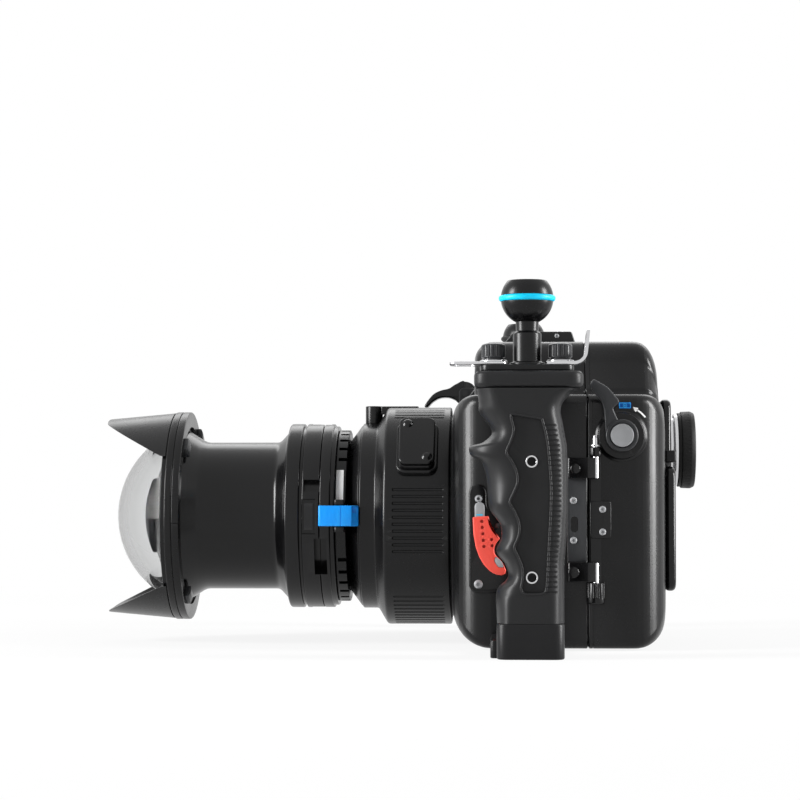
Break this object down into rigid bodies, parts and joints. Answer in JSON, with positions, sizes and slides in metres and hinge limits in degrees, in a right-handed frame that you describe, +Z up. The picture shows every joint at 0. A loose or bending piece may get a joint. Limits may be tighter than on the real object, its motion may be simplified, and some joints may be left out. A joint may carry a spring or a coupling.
{
  "type": "underwater camera housing",
  "caption": "Hinged metal shell for a camera, with a flat port, a wide wet lens under a petal hood, controls, and a handle with a ball mount on each side.",
  "frame": {"origin": "middle of the foot plate's underside, on the surface that the housing stands on, under the middle of the body's width", "axes": "+Z up, -X the way the lens looks, +Y the operator's right hand"},
  "size_m": [0.3154, 0.324, 0.1814],
  "materials": {
    "black_anodised": "satin black anodised, fine bead-blasted grain",
    "grey_anodised": "dark grey anodised, turned finish",
    "black_plastic": "fine moulded grain",
    "grip_plastic": "satin moulded glass-filled plastic",
    "steel": "brushed",
    "clear_glass": "polished, anti-reflection coated",
    "coated_glass": "polished, coated",
    "blue_anodised": "satin blue anodised",
    "red_anodised": "satin red anodised",
    "cyan_rubber": "smooth seal rubber",
    "black_rubber": "matt rubber",
    "grey_button": "satin moulded",
    "circuit_board": "solder mask"
  },
  "bodies": {
    "housing": {"front_shell": "black_anodised", "port_ring": "grey_anodised", "lock_plate": "black_anodised", "hinge_bracket": "black_anodised", "hinge_pin": "steel", "foot_plate": "black_plastic", "camera_tray": "grey_anodised", "leak_sensor": "circuit_board", "control_board": "circuit_board", "vacuum_valve": "black_rubber", "accessory_plate": "black_anodised", "left_grip": "grip_plastic", "left_upper_arm": "grip_plastic", "left_lower_arm": "grip_plastic", "left_ball": "black_anodised", "left_ball_ring": "cyan_rubber", "left_front_lanyard": "steel", "left_rear_lanyard": "steel", "right_grip": "grip_plastic", "right_upper_arm": "grip_plastic", "right_lower_arm": "grip_plastic", "right_ball": "black_anodised", "right_ball_ring": "cyan_rubber", "right_front_lanyard": "steel", "right_rear_lanyard": "steel"},
    "door": {"rear_shell": "black_anodised", "main_seal": "black_rubber", "window_frame": "black_plastic", "display_window": "clear_glass", "eyepiece_neck": "steel", "eyepiece_lens": "coated_glass", "eyepiece_ring": "black_plastic", "hinge_leaf": "black_anodised"},
    "port": {"port_barrel": "black_anodised", "port_seal": "black_rubber", "port_glass": "clear_glass", "focus_cover": "grey_anodised", "port_stud": "steel", "adaptor_ring": "grey_anodised"},
    "wet_lens": {"lens_bayonet": "grey_anodised", "lens_body": "black_anodised", "rear_element": "coated_glass", "front_element": "coated_glass", "dome_glass": "clear_glass", "lens_shade": "black_plastic"},
    "release": {"release_lever": "blue_anodised"},
    "play_arm": {"play_lever": "black_anodised"},
    "play_cap": {"play_button": "grey_button"},
    "port_lock": {"port_lock_lever": "red_anodised"},
    "menu_cap": {"menu_button": "grey_button"},
    "display_cap": {"display_button": "grey_button"},
    "trash_cap": {"trash_button": "grey_button"},
    "function_cap": {"function_button": "grey_button"},
    "ok_cap": {"ok_button": "grey_button"},
    "pad_ring": {"control_dial": "grey_anodised"},
    "thumb_knob": {"thumb_dial": "black_anodised"},
    "latch": {"door_latch": "grey_anodised"},
    "mode_knob": {"mode_dial": "black_anodised"},
    "exposure_knob": {"exposure_dial": "black_anodised"},
    "shutter": {"shutter_lever": "black_anodised"}
  },
  "joints": [
    {"name": "door_hinge", "type": "hinge", "parent": "housing", "child": "door", "pos_m": [0.0184, -0.0936, 0.0656], "axis": [0, 0, -1], "range_deg": [0, 95]},
    {"name": "port_turn", "type": "hinge", "parent": "housing", "child": "port", "pos_m": [-0.056, 0, 0.0676], "axis": [1, 0, 0], "range_deg": [0, 60]},
    {"name": "lens_turn", "type": "hinge", "parent": "port", "child": "wet_lens", "pos_m": [-0.1164, 0, 0.0676], "axis": [1, 0, 0], "range_deg": [0, 60]},
    {"name": "release_press", "type": "hinge", "parent": "port", "child": "release", "pos_m": [-0.1133, -0.0524, 0.0676], "axis": [0, 0, 1], "range_deg": [0, 4], "stiffness_Nm_per_rad": 0.4},
    {"name": "lock_swing", "type": "hinge", "parent": "housing", "child": "port_lock", "pos_m": [-0.0397, -0.094, 0.0712], "axis": [0, 1, 0], "range_deg": [0, 60]},
    {"name": "play_swing", "type": "hinge", "parent": "door", "child": "play_arm", "pos_m": [0.0315, -0.094, 0.108], "axis": [0, 1, 0], "range_deg": [0, 15], "stiffness_Nm_per_rad": 0.4},
    {"name": "play_press", "type": "slide", "parent": "play_arm", "child": "play_cap", "axis": [0, 1, 0], "range_m": [0, 0.0016], "stiffness_N_per_m": 400},
    {"name": "menu_press", "type": "slide", "parent": "door", "child": "menu_cap", "axis": [-1, 0, 0], "range_m": [0, 0.0015], "stiffness_N_per_m": 400},
    {"name": "display_press", "type": "slide", "parent": "door", "child": "display_cap", "axis": [-1, 0, 0], "range_m": [0, 0.0015], "stiffness_N_per_m": 400},
    {"name": "trash_press", "type": "slide", "parent": "door", "child": "trash_cap", "axis": [-1, 0, 0], "range_m": [0, 0.0015], "stiffness_N_per_m": 400},
    {"name": "function_press", "type": "slide", "parent": "door", "child": "function_cap", "axis": [-1, 0, 0], "range_m": [0, 0.0015], "stiffness_N_per_m": 400},
    {"name": "ok_press", "type": "slide", "parent": "door", "child": "ok_cap", "axis": [-1, 0, 0], "range_m": [0, 0.0015], "stiffness_N_per_m": 400},
    {"name": "pad_turn", "type": "hinge", "parent": "door", "child": "pad_ring", "pos_m": [0.058, 0.057, 0.063], "axis": [1, 0, 0], "continuous": true},
    {"name": "thumb_turn", "type": "hinge", "parent": "door", "child": "thumb_knob", "pos_m": [0.058, 0.062, 0.112], "axis": [1, 0, 0], "continuous": true},
    {"name": "latch_turn", "type": "hinge", "parent": "housing", "child": "latch", "pos_m": [-0.004, 0.093, 0.064], "axis": [0, -1, 0], "range_deg": [0, 90]},
    {"name": "mode_turn", "type": "hinge", "parent": "housing", "child": "mode_knob", "pos_m": [-0.022, 0.0626, 0.135], "axis": [0, 0, 1], "continuous": true},
    {"name": "exposure_turn", "type": "hinge", "parent": "housing", "child": "exposure_knob", "pos_m": [0.0026, 0.0626, 0.135], "axis": [0, 0, 1], "continuous": true},
    {"name": "shutter_press", "type": "hinge", "parent": "housing", "child": "shutter", "pos_m": [-0.0506, 0.1, 0.138], "axis": [0, -1, 0], "range_deg": [0, 10], "stiffness_Nm_per_rad": 0.4}
  ]
}
